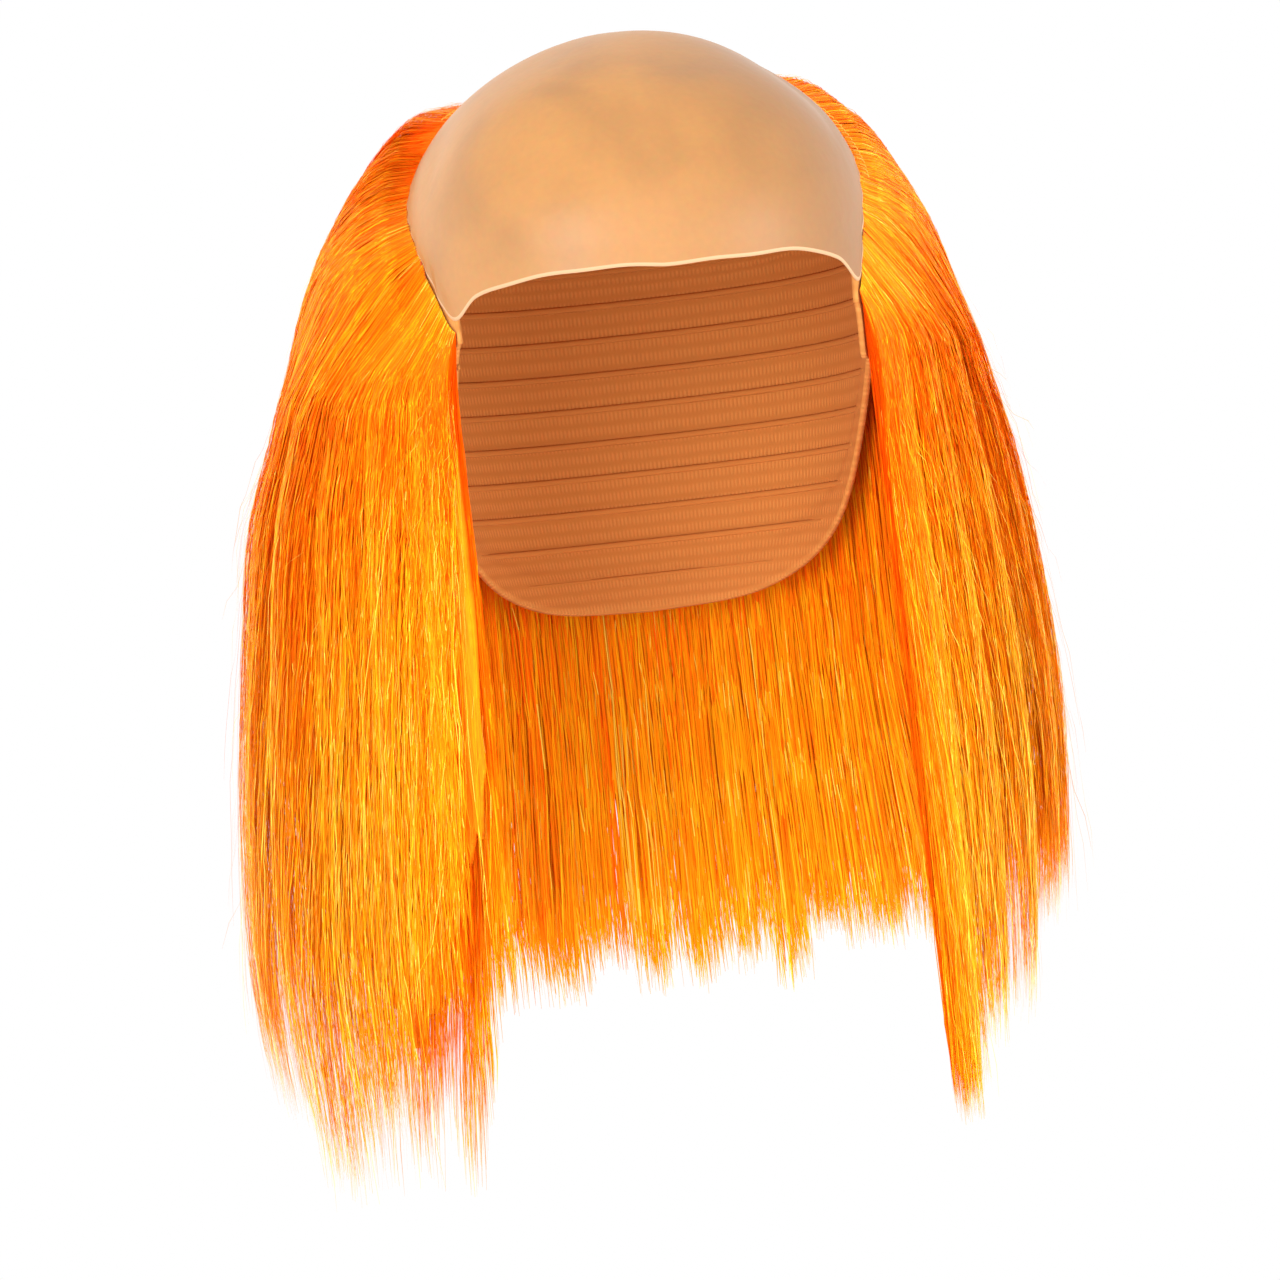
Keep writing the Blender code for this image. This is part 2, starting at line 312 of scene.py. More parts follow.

# %% [markdown]
# ## The latex's finish
#
# Latex caps are dipped and then toned by hand. The tone is peach with soft grey-brown blotches
# a few centimetres wide, a faint mottle, and a satin shine that comes and goes. Shade is painted
# into the colour low on the forehead and towards the wig's own left. Paint could do all this,
# but noise in three sizes gives the same uneven tone with no seam anywhere.

# %% Blotched satin latex with painted shade, and a painted highlight on its cut edge
PEACH = (0.508, 0.232, 0.066)
TAN = (0.480, 0.219, 0.061)
GREY_BROWN = (0.405, 0.185, 0.055)
PAINTED_SHADE = (0.272, 0.122, 0.038)
EDGE_HIGHLIGHT = (0.575, 0.345, 0.180)

latex, surface = start_finish("latex", PEACH, 0.42)
place = add_node(latex, "ShaderNodeTexCoord").outputs["Object"]
blotches = add_node(latex, "ShaderNodeTexNoise", [(place, "Vector")],
                    Scale=21.0, Detail=2.5, Roughness=0.5, Distortion=0.6)
tone = colour_ramp(latex, blotches.outputs["Fac"],
                   [(0.33, GREY_BROWN), (0.50, TAN), (0.66, PEACH)])
level = add_node(latex, "ShaderNodeSeparateXYZ", [(place, "Vector")])
# Painted shade: the colour is darker low on the forehead and towards the wig's own left.
shade_low_down = add_node(latex, "ShaderNodeMapRange", [(level.outputs["Z"], "Value")],
                    From_Min=-0.040, From_Max=-0.075, To_Max=0.36)
shade_to_left = add_node(latex, "ShaderNodeMapRange", [(level.outputs["X"], "Value")],
                   From_Min=0.0, From_Max=0.065, To_Max=0.85)
for shade_amount in (shade_low_down, shade_to_left):
    tone = mix_colours(latex, tone, (*PAINTED_SHADE, 1), shade_amount.outputs["Result"])
mottle = add_node(latex, "ShaderNodeTexNoise", [(place, "Vector")], Scale=420.0, Detail=3.0)
tone = mix_colours(latex, tone, mottle.outputs["Color"], 0.10, way="OVERLAY")
join(latex, tone, surface.inputs["Base Color"])
# The cut edge's paler finish is a painted highlight.
latex_edge_highlight, _ = start_finish("latex_edge_highlight", EDGE_HIGHLIGHT, 0.5)
print("finishes:", latex.name, latex_edge_highlight.name)

# %% Give the latex its uneven shine, soft waves and pores
shine = add_node(latex, "ShaderNodeMapRange", [(blotches.outputs["Fac"], "Value")],
                 To_Min=0.36, To_Max=0.52)
join(latex, shine.outputs["Result"], surface.inputs["Roughness"])
waves = add_node(latex, "ShaderNodeTexNoise", [(place, "Vector")], Scale=75.0, Detail=2.0)
soft = add_node(latex, "ShaderNodeBump", [(waves.outputs["Fac"], "Height")],
                Strength=0.25, Distance=0.001)
pores = add_node(latex, "ShaderNodeBump",
                 [(mottle.outputs["Fac"], "Height"), (soft.outputs["Normal"], "Normal")],
                 Strength=0.12, Distance=0.0003)
join(latex, pores.outputs["Normal"], surface.inputs["Normal"])
surface.inputs["Subsurface Weight"].default_value = 0.08
surface.inputs["Subsurface Scale"].default_value = 0.004
print("latex nodes:", len(latex.node_tree.nodes))

# %% [markdown]
# ## The latex cap
#
# The cap is a skin little more than a millimetre thick. Worn, it shows shallow dents on the top
# and is thinner at its hand-cut edge on the forehead. Beyond the temples the edge laps over the
# roots of the hair, and lifts a little between one stitch and the next. A sphere could be bent
# to this, but rings that follow the cut edge put the detail where the eye looks.

# %% Dents, ripples and the cut edge
LATEX_WALL = 0.0012
DENT_DEPTH = 0.0022
CLOTH_OVERLAP = 0.008
DENTS = [
    # azimuth, reach, spread, depth
    (-42.0, 0.16, 0.17, 1.0),
    (-66.0, 0.55, 0.13, 0.7),
    (20.0, 0.22, 0.16, 0.8),
    (62.0, 0.30, 0.15, 1.0),
    (70.0, 0.70, 0.12, 0.6),
    (-20.0, 0.62, 0.20, 0.5),
    (30.0, 0.75, 0.18, 0.4),
    (150.0, 0.08, 0.14, 0.6),
]
CROWN_CALM, EDGE_CALM = 0.25, 0.3
THIN_EDGE = 0.45
EDGE_BAND = 0.004
CUT_WANDER = 0.00016
# The width of the painted highlight along the cut edge.
HIGHLIGHT_BAND = 0.0006
SEAM_LIFT = 0.0007
PUCKER_PITCH = 0.0105


def dent_depth(azimuth, polar, edge):
    here = head_point(azimuth, polar)
    depth = np.zeros(polar.shape)
    for dent_azimuth, reach, spread, share in DENTS:
        centre = head_point(math.radians(dent_azimuth), polar_at(reach * CROWN_HEIGHT))
        away = np.linalg.norm(here - centre, axis=-1) / (spread * HEAD_BREADTH)
        depth += share * DENT_DEPTH * np.exp(-away * away)
    calm = smooth(polar / CROWN_CALM)
    return depth * calm * smooth((edge - polar - 1.5 * head_angle(CLOTH_OVERLAP)) / EDGE_CALM)


def seam_run(station):
    """How far a station is along the sewn seam from its temple, in metres."""
    steps = np.linspace(TEMPLE, BACK, 400)
    runs = []
    for side in (-1, 1):
        line = head_point(station_azimuth(side * steps), seam_polar(side * steps))
        parts = np.linalg.norm(np.diff(line, axis=0), axis=1)
        runs.append(np.interp(np.abs(station), steps, np.concatenate([[0], parts.cumsum()])))
    return on_side(station, *runs)


around = np.linspace(-BACK, BACK, 241)[:-1]
# The rings lie closer towards the cut edge, and the last one is as narrow as the band of painted
# highlight.
rings = np.concatenate([np.linspace(0.02, 0.94, 38), np.linspace(0.94, 0.9965, 12)[1:], [1.0]])
station, share = np.meshgrid(around, rings, indexing="ij")
azimuth, edge = station_azimuth(station), seam_polar(station)
polar = share * edge
sewn = smooth((np.abs(station) - TEMPLE - 0.1) / 0.4)
puckers = 0.6 + 0.4 * np.cos(2 * math.pi * seam_run(station) / PUCKER_PITCH)
from_edge = (1 - share) * edge / head_angle(1)
near_cut = 1 - smooth(from_edge / EDGE_BAND)
inside_out = -dent_depth(azimuth, polar, edge) + SEAM_LIFT * puckers * sewn * near_cut
wall = LATEX_WALL * mix(1.0, THIN_EDGE, near_cut)
cut_line = CUT_WANDER * (np.sin(9 * azimuth) + 0.5 * np.sin(23 * azimuth + 1.0))
polar = polar + head_angle(cut_line) * near_cut * (1 - sewn)
outside = head_point(azimuth, polar, inside_out + wall)
inside = head_point(azimuth, polar, inside_out)
print("latex grid:", station.shape, "thinnest edge in mm:", round(1000 * wall.min(), 2))

# %% Make the latex cap
columns, rows = station.shape
faces = wall_faces(columns, rows, closed=True)
skin = columns * rows
faces.append(tuple(column * rows for column in range(columns))[::-1])
faces.append(tuple(skin + column * rows for column in range(columns)))
latex_cap = add_piece("latex_cap", [outside, inside], faces, [latex, latex_edge_highlight])
# Faces at the cut edge take the paler finish, a painted highlight.
pale = (from_edge < HIGHLIGHT_BAND).ravel()
for face in latex_cap.data.polygons:
    if all(pale[corner % skin] for corner in face.vertices):
        face.material_index = 1
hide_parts("bald_cap")
print("latex cap:", len(latex_cap.data.polygons), "faces")

# %% [markdown]
# ## The cloth cap
#
# Under the latex edge and the hair lies a stretchy knitted cap. Its inside shows through the
# face opening. The hair is sewn to it in level rows, called wefts, about 12 mm apart. The knit
# is too fine to model thread by thread, so it is a pattern in the finish, while the hem and the
# wefts are raised in the mesh.

# %% Knitted cloth with its ribs in the finish
cloth, surface = start_finish("cloth", (0.60, 0.24, 0.05), 0.88)
place = add_node(cloth, "ShaderNodeUVMap", uv_map="metres").outputs["UV"]
ribs = [add_node(cloth, "ShaderNodeTexWave", [(place, "Vector")], bands_direction=way,
                 Scale=scale, Distortion=0.5, Detail=1.0)
        for way, scale in (("X", 205.0), ("Y", 165.0))]
knit = add_node(cloth, "ShaderNodeMath", operation="MULTIPLY",
                links=[(rib.outputs["Fac"], number) for number, rib in enumerate(ribs)])
cloth_tone = colour_ramp(cloth, knit.outputs["Value"],
                         [(0.0, (0.58, 0.215, 0.040)), (0.6, (0.68, 0.275, 0.060))])
join(cloth, cloth_tone, surface.inputs["Base Color"])
threads = add_node(cloth, "ShaderNodeBump", [(knit.outputs["Value"], "Height")],
                   Strength=0.4, Distance=0.0005)
join(cloth, threads.outputs["Normal"], surface.inputs["Normal"])
print("cloth finish:", cloth.name)

# %% Make the cloth cap with its hem
CLOTH_WALL = 0.0015
CLOTH_GAP = 0.0005
HEM_WIDTH = 0.007
HEM_RISE, HEM_STEP = 0.0006, 0.0015


def round_the_back(first, count):
    """Stations from one temple round the back to the other, with a count for each side."""
    right, left = np.linspace(-first, -BACK, count), np.linspace(BACK, first, count)
    return np.concatenate([right, left[1:]])


levels = np.concatenate([np.linspace(0, 0.9, 30), np.linspace(0.9, 1, 13)[1:]])
station, share = np.meshgrid(round_the_back(TEMPLE, 97), levels, indexing="ij")
azimuth = station_azimuth(station)
top, bottom = seam_polar(station) - head_angle(CLOTH_OVERLAP), polar_at(cloth_edge_drop(station))
polar = mix(top, bottom, share)
to_hem = (bottom - polar) / head_angle(1)
rise = HEM_RISE * smooth((HEM_WIDTH - to_hem) / HEM_STEP)
outside = head_point(azimuth, polar, -CLOTH_GAP)
inside = head_point(azimuth, polar, -CLOTH_GAP - CLOTH_WALL - rise)
cloth_cap = add_piece("cloth_cap_knit", [outside, inside], wall_faces(*station.shape), [cloth])
run = (azimuth - np.copysign(math.pi, azimuth)) * head_radius(azimuth)
give_map(cloth_cap, np.stack([run, run]), np.stack([polar, polar]) * HEAD_BREADTH / 2)
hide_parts("cloth_cap")
print("cloth cap:", len(cloth_cap.data.polygons), "faces")

# %% Make the wefts, the level rows of stitching that hold the hair
FIRST_WEFT, WEFT_PITCH = 0.034, 0.012
WEFT_WIDTH, WEFT_RISE, WEFT_SINK = 0.0011, 0.0005, 0.0002
WEFT_SIDES, WEFT_POINTS = 6, 97


def make_tubes(name, lines, half_wide, half_thick, sides, finish):
    """Closed tubes, all with the same number of points, along an array of lines."""
    count, points = lines.shape[:2]
    tangent = np.gradient(lines, axis=1)
    tangent /= np.linalg.norm(tangent, axis=-1, keepdims=True)
    across = np.cross(tangent, outward_from_head(lines))
    across /= np.linalg.norm(across, axis=-1, keepdims=True)
    upward = np.cross(across, tangent)
    turns = np.linspace(0, 2 * math.pi, sides, endpoint=False)[:, None]
    ring = half_wide * np.cos(turns) * across[:, :, None]
    ring = ring + half_thick * np.sin(turns) * upward[:, :, None]
    faces = []
    for tube in range(count):
        first = tube * points * sides
        last = first + (points - 1) * sides
        for low in range(first, last, sides):
            faces += [(low + turn, low + (turn + 1) % sides,
                       low + sides + (turn + 1) % sides, low + sides + turn)
                      for turn in range(sides)]
        faces.append(tuple(range(first, first + sides))[::-1])
        faces.append(tuple(range(last, last + sides)))
    return add_piece(name, lines[:, :, None] + ring, faces, [finish])


def outward_from_head(path):
    """Direction away from the head's middle, or straight out from the axis lower down."""
    centre = np.zeros_like(path)
    centre[..., 2] = np.minimum(path[..., 2], -CROWN_HEIGHT)
    away = path - centre
    return away / np.linalg.norm(away, axis=-1, keepdims=True)


rows_of_weft = []
steps = round_the_back(TEMPLE, 200)
for weft_drop in np.arange(FIRST_WEFT, CLOTH_DROP - 1.2 * HEM_WIDTH, WEFT_PITCH):
    weft_polar = polar_at(weft_drop)
    above_hem = weft_drop < cloth_edge_drop(steps) - HEM_WIDTH
    covered = above_hem & (seam_polar(steps) < weft_polar)
    span = np.degrees(np.abs(station_azimuth(steps[covered]))).min()
    turns = np.radians(np.linspace(span, 360 - span, WEFT_POINTS))
    rows_of_weft.append(head_point(turns, weft_polar, -CLOTH_GAP - CLOTH_WALL - WEFT_SINK))
wefts = make_tubes("weft_rows", np.array(rows_of_weft), WEFT_WIDTH, WEFT_RISE, WEFT_SIDES, cloth)
print("rows of weft:", len(rows_of_weft))

# %% [markdown]
# ## Where the hair lies
#
# The hair leaves the seam, lies back over the cloth, and hangs straight once it has passed the
# widest part of the head. It is fuller at the sides than at the back and fans out as it falls.
# These are the same rules and tables that shaped the solids, so the hair keeps their form. Only
# the roots, which stand up behind the latex, and single hairs at the tips go a little past it.

# %% Sizes of the hair by station and by level
HAIR_DROP = 0.362
HAIR_DEPTH = 0.079
HANG_DROP = 0.107
ROOT_THICKNESS = 0.006
RISE_POWER = 1.2
LOCK_RELIEF = 0.0034
LOCK_NOTCH = 0.022
FRONT_ANGLE = 49.0
TOUCH_GAP = 0.0003
SEAM_GAP = 0.0014
LAYER_GAP = 0.0008
LOCKS_PER_STATION = 2
HEAD_ARC = 0.088  # metres along the head for each radian down it, near enough
HAIR_STATIONS = [
    # fullness, right_tip, left_tip
    (0.13, 0.80, 1.00),
    (0.52, 1.00, 0.92),
    (0.92, 0.92, 0.84),
    (1.00, 0.87, 0.84),
    (0.88, 0.86, 0.85),
    (0.70, 0.87, 0.86),
    (0.52, 0.88, 0.88),
    (0.40, 0.89, 0.89),
    (0.37, 0.89, 0.89),
]
HAIR_LEVELS = [
    # drop, right_side, left_side
    (0.295, 0.58, 0.445),
    (0.41, 0.76, 0.550),
    (0.55, 0.86, 0.620),
    (0.69, 0.94, 0.645),
    (0.83, 1.00, 0.600),
    (1.00, 0.93, 0.480),
]
LOCK_ENDS = np.array([0.0, 0.54, 0.18, 0.66, 0.12, 0.36, 0.78, 0.06, 0.48, 0.24, 0.72])
print("the deepest hair in mm:", 1000 * HAIR_DEPTH)


# %% How deep the hair is, where its locks are and where they end
def hang_azimuth(station):
    share = (np.abs(station) - TEMPLE) / (BACK - TEMPLE)
    return np.copysign(mix(math.radians(FRONT_ANGLE), math.pi, share), station)


def full_depth(station, drop):
    """From the inside of the hair to its outside, at a level below the crown."""
    drops = [row[0] for row in HAIR_LEVELS]
    position = np.interp(drop / HAIR_DROP, drops, range(len(drops)))
    right, left = (along(HAIR_LEVELS, column, position) for column in (1, 2))
    level = (right + left) / 2 + (left - right) / 2 * np.sin(hang_azimuth(station))
    return HAIR_DEPTH * along(HAIR_STATIONS, 0, np.abs(station) - TEMPLE) * level


def lock_place(station):
    """Which lock a station is in, and how far it is from the lock's middle, 0 to 1."""
    count = (np.abs(station) - TEMPLE) * LOCKS_PER_STATION
    lock = np.floor(count).astype(int)
    return lock, np.abs(2 * (count - lock) - 1)


def tip_drop(station):
    lock, off_middle = lock_place(station)
    away = np.abs(station) - TEMPLE
    level = on_side(station, along(HAIR_STATIONS, 1, away), along(HAIR_STATIONS, 2, away))
    turn = lock + on_side(station, 0, len(LOCK_ENDS) // 2)
    notch = mix(LOCK_ENDS[turn % len(LOCK_ENDS)], 1.0, off_middle**2)
    return HAIR_DROP * level - LOCK_NOTCH * notch


ends = 1000 * tip_drop(np.linspace(TEMPLE, BACK, 50))
print("tips hang from", round(ends.min()), "to", round(ends.max()), "mm below the crown")


# %% A point anywhere in the hair
def hair_point(station, share, drop, depth, lift=0.0):
    """Share runs from the seam to where the hair hangs, and then drop takes over.
    Depth is 0 on the inside of the hair and 1 on its outside."""
    hanging = share >= 1
    start = seam_polar(station) + head_angle(SEAM_GAP)
    hang_polar, hang = polar_at(HANG_DROP), hang_azimuth(station)
    polar = mix(start, hang_polar, np.minimum(share, 1))
    share_on = np.clip(share, 0, 1)
    # The right side is combed back later than the left.
    turned = on_side(station, share_on**1.4, 1 - (1 - share_on) ** 2)
    azimuth = mix(station_azimuth(station), hang, turned)
    thick = mix(ROOT_THICKNESS, full_depth(station, HANG_DROP), share_on**RISE_POWER)
    on_head = head_point(azimuth, polar, TOUCH_GAP + depth * thick + lift)
    reach = head_radius(hang) * math.sin(hang_polar) + LAYER_GAP
    reach = reach + depth * full_depth(station, drop)
    below = np.stack([reach * np.sin(hang), -reach * np.cos(hang), -drop], axis=-1)
    return np.where(hanging[..., None], below, on_head)


corners = hair_point(temples, np.ones(2), np.full(2, HANG_DROP), 1.0)
print("front locks where they start to hang, in mm:", (1000 * corners).round().tolist())

# %% Roots that stand up, and strands that run past the tips
# How far the roots stand up behind the latex, by station.
ROOT_LIFTS = ([4, 6, 8, 9.3, 10.6, 12], [0.0, 0.001, 0.008, 0.011, 0.006, 0.004])
ROOT_RUN = 0.0045
LIFT_RUN = 0.035
PAST_TIP = 0.009


def root_rise(gone, run=ROOT_RUN):
    """How far the hair has risen to its full height at a distance from its roots."""
    return 1 - np.exp(-gone / run)


def root_lift(station, gone):
    return np.interp(np.abs(station), *ROOT_LIFTS) * root_rise(gone) * np.exp(-gone / LIFT_RUN)


def strand_end(station):
    """Single strands run a little past the end of the solid hair."""
    away = np.abs(station)
    more_right = smooth((away - 4.6) / 0.8) * (1 - smooth((away - 8) / 2))
    more_left = 1 - smooth((away - 4.6) / 1.4)
    return tip_drop(station) + PAST_TIP * (1 + on_side(station, more_right, more_left))


print("roots stand up by", 1000 * max(ROOT_LIFTS[1]), "mm at most")

# %% [markdown]
# ## The backing of the hair
#
# From outside, the hair is too thick to see through, except near its tips. Strands alone would
# need a hundred thousand to be as dense. So a fibrous backing fills most of the thickness, a
# little inside the outermost strands, and stops well above the tips, where the hair thins out.
# It is painted deep orange at the roots, a painted shade, and lighter lower down, and a painted
# shadow lies along the seam as a dark line.

# %% Orange finish with fibres that run down the hair, and painted shade at the roots
ORANGE = (1.0, 0.34, 0.006)
ROOT_SHADE_FIBRES = ((1.0, 0.09, 0.001), (1.0, 0.20, 0.001))
LIGHT_FIBRES = ((1.0, 0.19, 0.002), (1.0, 0.36, 0.004))
ROOT_SHADOW = (0.42, 0.035, 0.003)

hair_backing, surface = start_finish("hair_backing", ORANGE, 0.7)
surface.inputs["Specular IOR Level"].default_value = 0.1
place = add_node(hair_backing, "ShaderNodeUVMap", uv_map="metres").outputs["UV"]
drawn = add_node(hair_backing, "ShaderNodeMapping", [(place, "Vector")], Scale=(1300.0, 40.0, 1.0))
fibres = add_node(hair_backing, "ShaderNodeTexNoise", [(drawn.outputs["Vector"], "Vector")],
                  Scale=1.0, Detail=3.0, Roughness=0.65)
deep, light = (
    colour_ramp(hair_backing, fibres.outputs["Fac"], [(0.30, low), (0.70, high)])
    for low, high in (ROOT_SHADE_FIBRES, LIGHT_FIBRES))
# Painted shade: the fibres are deep orange at the roots and lighter lower down.
down_it = add_node(hair_backing, "ShaderNodeSeparateXYZ", [(place, "Vector")])
fall = add_node(hair_backing, "ShaderNodeMapRange", [(down_it.outputs["Y"], "Value")],
                From_Min=0.01, From_Max=0.24)
shade_graded = mix_colours(hair_backing, deep, light, fall.outputs["Result"])
join(hair_backing, shade_graded, surface.inputs["Base Color"])
grooves = add_node(hair_backing, "ShaderNodeBump", [(fibres.outputs["Fac"], "Height")],
                   Strength=0.6, Distance=0.0008)
join(hair_backing, grooves.outputs["Normal"], surface.inputs["Normal"])
hair_shadow, _ = start_finish("hair_root_shadow", ROOT_SHADOW, 0.8)
print("backing finishes:", hair_backing.name, hair_shadow.name)

# %% Make the backing, inset from both surfaces of the hair
CORE_OUTSIDE, CORE_INSIDE = 0.91, 0.13
END_OUTSIDE, END_INSIDE = 0.62, 0.48
CORE_SHORT, CORE_RAGGED = 0.052, 0.022
CORE_RUN, CORE_LIFT = 2.4 * ROOT_RUN, 0.8
CORE_ROWS, SHADOW_ROW = 34, 0.0045
ON_HEAD, HANGS_FROM = 0.35, 0.34
SHADOW_RUN = 0.0016
STATION_WIDTH, BACKING_LENGTH = 0.035, 0.35
rng = np.random.default_rng(20)

around = round_the_back(TEMPLE + 0.08, 113)
core_end = strand_end(around) - CORE_SHORT - CORE_RAGGED * rng.random(len(around))
down = np.insert(np.linspace(0, 1, CORE_ROWS) ** 1.2, 1, SHADOW_ROW)
station, line = np.meshgrid(around, down, indexing="ij")
seam_to_hang = (polar_at(HANG_DROP) - seam_polar(station)) * HEAD_ARC
share = 0.01 + line / ON_HEAD
hung = np.clip((line - HANGS_FROM) / (1 - HANGS_FROM), 0, 1)
drop = mix(HANG_DROP, core_end[:, None], hung)
_, off_middle = lock_place(station)
groove = LOCK_RELIEF * off_middle**2 * smooth(line / 0.3)
thick = full_depth(station, np.maximum(drop, HANG_DROP))
thin_end = smooth((line - 0.7) / 0.3)
gone = share * seam_to_hang
lift = CORE_LIFT * root_lift(station, gone)
outer_share = mix(CORE_OUTSIDE - groove / thick, END_OUTSIDE, thin_end) * root_rise(gone, CORE_RUN)
inner_share = mix(CORE_INSIDE, END_INSIDE, thin_end) * smooth(line / 0.3)
inner_share = np.minimum(inner_share, 0.8 * outer_share)
outside = hair_point(station, share, drop, outer_share, outer_share * lift)
inside = hair_point(station, share, drop, inner_share)
backing = add_piece("hair_backing", [outside, inside], wall_faces(*station.shape),
                    [hair_backing, hair_shadow])
# Faces along the seam take the dark finish, a painted shadow.
in_shadow = (gone < SHADOW_RUN).ravel()
for face in backing.data.polygons:
    if all(in_shadow[corner % station.size] for corner in face.vertices):
        face.material_index = 1
give_map(backing, STATION_WIDTH * np.stack([station, station]),
         BACKING_LENGTH * np.stack([line, line]))
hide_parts("outer_hair", "under_hair")
print("backing:", len(backing.data.polygons), "faces")

# %% [markdown]
# ## Tints of orange
#
# Dyed fibre looks even until it is lit: strands that face the light glint pale yellow, and
# those behind glow deep orange. A few plain finishes, dealt out along the strands, paint that
# light and shade into the colour. They are plain on purpose, because thin strands have no room
# for a pattern. Each strand has painted shade near its roots and is painted yellower, as if more
# lit, lower down. A tinted gloss and a soft orange sheen keep the dark gaps warm.

# %% Make the tints
TINTS = [
    # name, red, green, blue, roughness
    ("hair_ember", 1.0, 0.140, 0.001, 0.60),
    ("hair_deep_orange", 1.0, 0.190, 0.002, 0.58),
    ("hair_orange", 1.0, 0.255, 0.002, 0.55),
    ("hair_warm_orange", 1.0, 0.322, 0.003, 0.53),
    ("hair_bright_orange", 1.0, 0.390, 0.004, 0.50),
    ("hair_yellow_orange", 1.0, 0.450, 0.006, 0.48),
    ("hair_amber", 1.0, 0.535, 0.012, 0.45),
    ("hair_pale_glint", 1.0, 0.720, 0.080, 0.42),
]
GLOSS_TINT = (1.0, 0.50, 0.08, 1.0)
FIBRE_GLOW = (1.0, 0.30, 0.01, 1.0)
tints = []
for name, red, green, blue, roughness in TINTS:
    finish, surface = start_finish(name, (red, green, blue), roughness)
    surface.inputs["Specular IOR Level"].default_value = 0.2
    surface.inputs["Specular Tint"].default_value = GLOSS_TINT
    surface.inputs["Sheen Weight"].default_value = 0.5
    surface.inputs["Sheen Roughness"].default_value = 0.55
    surface.inputs["Sheen Tint"].default_value = FIBRE_GLOW
    tints.append(finish)
print("tints:", len(tints))

# %% [markdown]
# ## Strands
#
# Blender's own hair curves would be the natural tool, but they aren't part of an exported mesh.
# So each strand is a flat ribbon, a third of a millimetre wide, crimped as cheap wig fibre is,
# with a twist of its own. Its stretches are long and short by turns, and a painted glint, a paler
# tint, falls only on a short one, which gives the light dashes of real fibre. Strands grow in
# wisps: a handful of them keep near a leading one and end at about the same level.

# %% Lay out the paths of many strands at once
ROOT_CROWDING = 1.3
WAVE_LENGTH = 0.10


def unit(vectors):
    return vectors / (np.linalg.norm(vectors, axis=-1, keepdims=True) + 1e-9)


def lay_strands(points, station, depth, start, end_drop, drift, wave, phase, pull, crimp):
    """Paths as an array of strands, points and x, y, z. All the inputs but the first have one
    value for each strand. Start is the share of the way from seam to hang where it is sewn."""
    station, depth, start, end_drop, drift, wave, phase, pull, crimp = (
        np.asarray(value, float)[:, None] * np.ones((len(station), 1))
        for value in (station, depth, start, end_drop, drift, wave, phase, pull, crimp))
    head_run = (polar_at(HANG_DROP) - seam_polar(station)) * HEAD_ARC * (1 - start)
    head_run = np.maximum(head_run, 0.002)
    run = head_run + np.maximum(end_drop - HANG_DROP, 0.02)
    line = np.linspace(0, 1, points)[None] ** ROOT_CROWDING
    gone = line * run
    share = np.where(gone < head_run, start + (1 - start) * gone / head_run, 1.0)
    drop = HANG_DROP + np.maximum(gone - head_run, 0)
    lock, _ = lock_place(station)
    middle = np.copysign(TEMPLE + (lock + 0.5) / LOCKS_PER_STATION, station)
    gather = pull * smooth((line - 0.3) / 0.7)
    turn = np.sign(station)
    swing = wave * np.sin(2 * math.pi * (gone / WAVE_LENGTH + phase)) * smooth(gone / 0.05)
    placed = station + (middle - station) * gather + turn * (drift * line + swing)
    placed = turn * np.maximum(turn * placed, TEMPLE + 0.004)
    past_back = np.abs(placed) > BACK
    placed = np.where(past_back, -turn * (2 * BACK - np.abs(placed)), placed)
    _, off_middle = lock_place(placed)
    full = np.maximum(full_depth(placed, drop), 0.004)
    groove = LOCK_RELIEF * off_middle**2 * smooth(line / 0.3) / full
    level = depth + (0.8 - depth) * 0.3 * smooth((line - 0.6) / 0.4) - groove * depth
    lift = level * root_lift(placed, gone)
    path = hair_point(placed, share, drop, level * root_rise(gone), lift)
    for _ in range(2):
        path[:, 1:-1] = 0.25 * path[:, :-2] + 0.5 * path[:, 1:-1] + 0.25 * path[:, 2:]
    # Every second point slides on, which makes the stretches long and short by turns.
    slide = rng.uniform(0, 0.5, (len(path), 1)) + 0.45 * (np.arange(points) % 2)
    slide[:, [0, -1]] = 0
    path = mix(path, np.concatenate([path[:, 1:], path[:, -1:]], axis=1), slide[..., None])
    tangent = unit(np.gradient(path, axis=1))
    side = unit(np.cross(tangent, outward_from_head(path)))
    kinks = rng.normal(0, 1, (2, *path.shape[:2])) * crimp * smooth(gone / 0.012)
    return path + kinks[0][..., None] * side + 0.5 * kinks[1][..., None] * np.cross(side, tangent)


zero = [0.0]
one = lay_strands(30, [5.0], [1.0], zero, [0.35], zero, zero, zero, zero, zero)
stretches = np.linalg.norm(np.diff(one[0], axis=0), axis=1)
print("one strand's length in mm:", round(1000 * stretches.sum()))

# %% Turn paths into ribbons and deal out the tints
RIBBON_LEAN, LEAN_SPREAD = 0.35, 0.16
TIP_WIDTH, TIP_SHARE = 0.25, 0.07
ROOT_WIDTH, ROOT_SHARE = 0.7, 0.06
TINT_SPREAD = 0.75
# A short stretch may take a paler tint, a painted glint.
GLINT_CHANCE, GLINT_STEP = 0.36, 2.2


def deal_tints(count, points, shares, deepen, shift=0.0):
    """A tint for each stretch of each strand. Deepen lowers it near the roots as painted shade,
    and shift has a step for each whole strand. The short stretches, every second one, may
    take a paler tint as a painted glint."""
    base = rng.choice(len(tints), (count, 1), p=np.array(shares) / sum(shares))
    line = np.linspace(0, 1, points - 1)[None]
    change = deepen * (smooth(line / 0.8) - 0.65) + np.reshape(shift, (-1, 1))
    wander = rng.normal(0, TINT_SPREAD, (count, points - 1))
    glints = (rng.random((count, points - 1)) < GLINT_CHANCE) * (np.arange(points - 1) % 2)
    steps = base + change + wander + GLINT_STEP * glints
    return np.clip(np.rint(steps), 0, len(tints) - 1).astype(np.int32)


